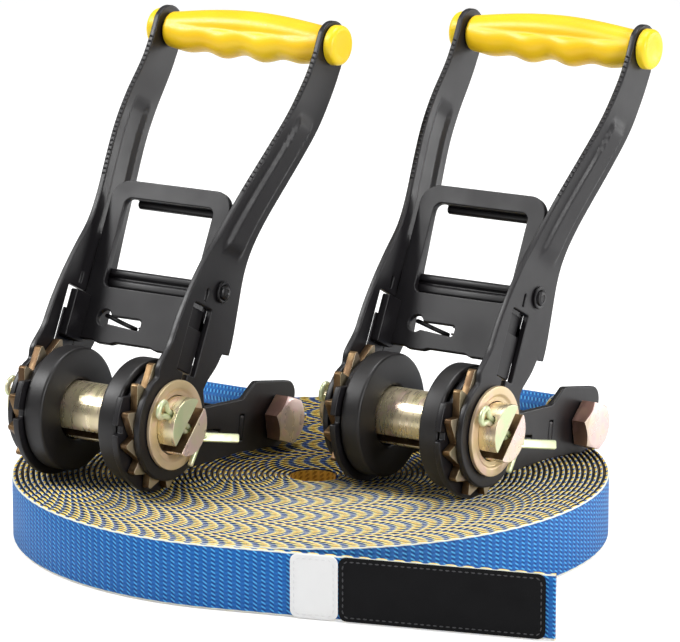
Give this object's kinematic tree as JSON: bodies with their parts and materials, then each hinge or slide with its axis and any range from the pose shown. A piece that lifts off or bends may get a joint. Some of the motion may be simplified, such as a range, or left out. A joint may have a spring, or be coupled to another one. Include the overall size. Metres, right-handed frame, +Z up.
{
  "type": "slackline set",
  "caption": "Flat coil of woven webbing with long-handle tensioning ratchets lying on it, each with a finger-grooved grip, slotted drum, sprung pawls and anchor bolt.",
  "frame": {"origin": "under the middle of the set's outline, on the surface that the coil lies on", "axes": "+Z up; +X along the ratchets' spindles, towards the side where the free end of the webbing points; +Y from each spindle towards its anchor bolt"},
  "size_m": [0.2752, 0.2362, 0.1975],
  "materials": {
    "blue_webbing": "woven polyester",
    "yellow_webbing": "woven polyester edges",
    "white_cloth": "smooth label cloth",
    "black_cloth": "smooth label cloth",
    "black_coated_steel": "satin powder coat",
    "yellow_zinc_steel": "yellow zinc plate",
    "pink_zinc_steel": "yellow zinc plate, pinkish",
    "black_rubber": "matt",
    "spring_steel": "oiled",
    "grip_plastic": "semi-gloss",
    "cap_plastic": "semi-gloss"
  },
  "bodies": {
    "coil": {"webbing": "blue_webbing", "coil_core": "yellow_webbing", "white_label": "white_cloth", "black_label": "black_cloth"},
    "left_base_body": {"left_base_plate_near": "black_coated_steel", "left_base_plate_far": "black_coated_steel", "left_cross_plate": "black_coated_steel", "left_anchor_bolt": "pink_zinc_steel", "left_anchor_nut": "pink_zinc_steel", "left_bolt_sleeve": "yellow_zinc_steel", "left_sling": "blue_webbing", "left_lock_spring": "spring_steel"},
    "left_handle_body": {"left_arm_near": "black_coated_steel", "left_arm_far": "black_coated_steel", "left_crossbar": "black_coated_steel", "left_grip_tube": "spring_steel", "left_grip": "grip_plastic", "left_grip_cap_near": "cap_plastic", "left_grip_cap_far": "cap_plastic", "left_drive_spring": "spring_steel"},
    "left_drum_body": {"left_spindle_upper": "yellow_zinc_steel", "left_spindle_lower": "yellow_zinc_steel", "left_wheel_near": "yellow_zinc_steel", "left_wheel_far": "yellow_zinc_steel", "left_rubber_disc_near": "black_rubber", "left_rubber_disc_far": "black_rubber", "left_retaining_disc_near": "yellow_zinc_steel", "left_retaining_disc_far": "yellow_zinc_steel", "left_split_pin_near": "yellow_zinc_steel", "left_split_pin_far": "yellow_zinc_steel"},
    "left_drive_pawl_body": {"left_drive_pawl": "black_coated_steel"},
    "left_lock_pawl_body": {"left_lock_pawl": "black_coated_steel"},
    "right_base_body": {"right_base_plate_near": "black_coated_steel", "right_base_plate_far": "black_coated_steel", "right_cross_plate": "black_coated_steel", "right_anchor_bolt": "pink_zinc_steel", "right_anchor_nut": "pink_zinc_steel", "right_bolt_sleeve": "yellow_zinc_steel", "right_sling": "blue_webbing", "right_lock_spring": "spring_steel"},
    "right_handle_body": {"right_arm_near": "black_coated_steel", "right_arm_far": "black_coated_steel", "right_crossbar": "black_coated_steel", "right_grip_tube": "spring_steel", "right_grip": "grip_plastic", "right_grip_cap_near": "cap_plastic", "right_grip_cap_far": "cap_plastic", "right_drive_spring": "spring_steel"},
    "right_drum_body": {"right_spindle_upper": "yellow_zinc_steel", "right_spindle_lower": "yellow_zinc_steel", "right_wheel_near": "yellow_zinc_steel", "right_wheel_far": "yellow_zinc_steel", "right_rubber_disc_near": "black_rubber", "right_rubber_disc_far": "black_rubber", "right_retaining_disc_near": "yellow_zinc_steel", "right_retaining_disc_far": "yellow_zinc_steel", "right_split_pin_near": "yellow_zinc_steel", "right_split_pin_far": "yellow_zinc_steel"},
    "right_drive_pawl_body": {"right_drive_pawl": "black_coated_steel"},
    "right_lock_pawl_body": {"right_lock_pawl": "black_coated_steel"}
  },
  "joints": [
    {"name": "left_lift_off", "type": "slide", "parent": "coil", "child": "left_base_body", "axis": [0, 0, 1], "range_m": [0, 0.25]},
    {"name": "left_handle_turn", "type": "hinge", "parent": "left_base_body", "child": "left_handle_body", "pos_m": [-0.0736, -0.06252, 0.0523], "axis": [1, 0, 0], "range_deg": [-48, 106]},
    {"name": "left_drum_turn", "type": "hinge", "parent": "left_base_body", "child": "left_drum_body", "pos_m": [-0.0736, -0.06252, 0.0523], "axis": [1, 0, 0], "continuous": true},
    {"name": "left_drive_pawl_pull", "type": "slide", "parent": "left_handle_body", "child": "left_drive_pawl_body", "axis": [0, 0.4478, 0.8942], "range_m": [0, 0.008], "stiffness_N_per_m": 400, "springref_m": -0.02, "deforming": ["left_drive_spring"]},
    {"name": "left_lock_pawl_slide", "type": "slide", "parent": "left_base_body", "child": "left_lock_pawl_body", "axis": [0, 0.9831, -0.1829], "range_m": [0, 0.006], "stiffness_N_per_m": 400, "springref_m": -0.02, "deforming": ["left_lock_spring"]},
    {"name": "right_lift_off", "type": "slide", "parent": "coil", "child": "right_base_body", "axis": [0, 0, 1], "range_m": [0, 0.25]},
    {"name": "right_handle_turn", "type": "hinge", "parent": "right_base_body", "child": "right_handle_body", "pos_m": [0.034, -0.00351, 0.0523], "axis": [1, 0, 0], "range_deg": [-48, 106]},
    {"name": "right_drum_turn", "type": "hinge", "parent": "right_base_body", "child": "right_drum_body", "pos_m": [0.034, -0.00351, 0.0523], "axis": [1, 0, 0], "continuous": true},
    {"name": "right_drive_pawl_pull", "type": "slide", "parent": "right_handle_body", "child": "right_drive_pawl_body", "axis": [0, 0.4478, 0.8942], "range_m": [0, 0.008], "stiffness_N_per_m": 400, "springref_m": -0.02, "deforming": ["right_drive_spring"]},
    {"name": "right_lock_pawl_slide", "type": "slide", "parent": "right_base_body", "child": "right_lock_pawl_body", "axis": [0, 0.9831, -0.1829], "range_m": [0, 0.006], "stiffness_N_per_m": 400, "springref_m": -0.02, "deforming": ["right_lock_spring"]}
  ]
}
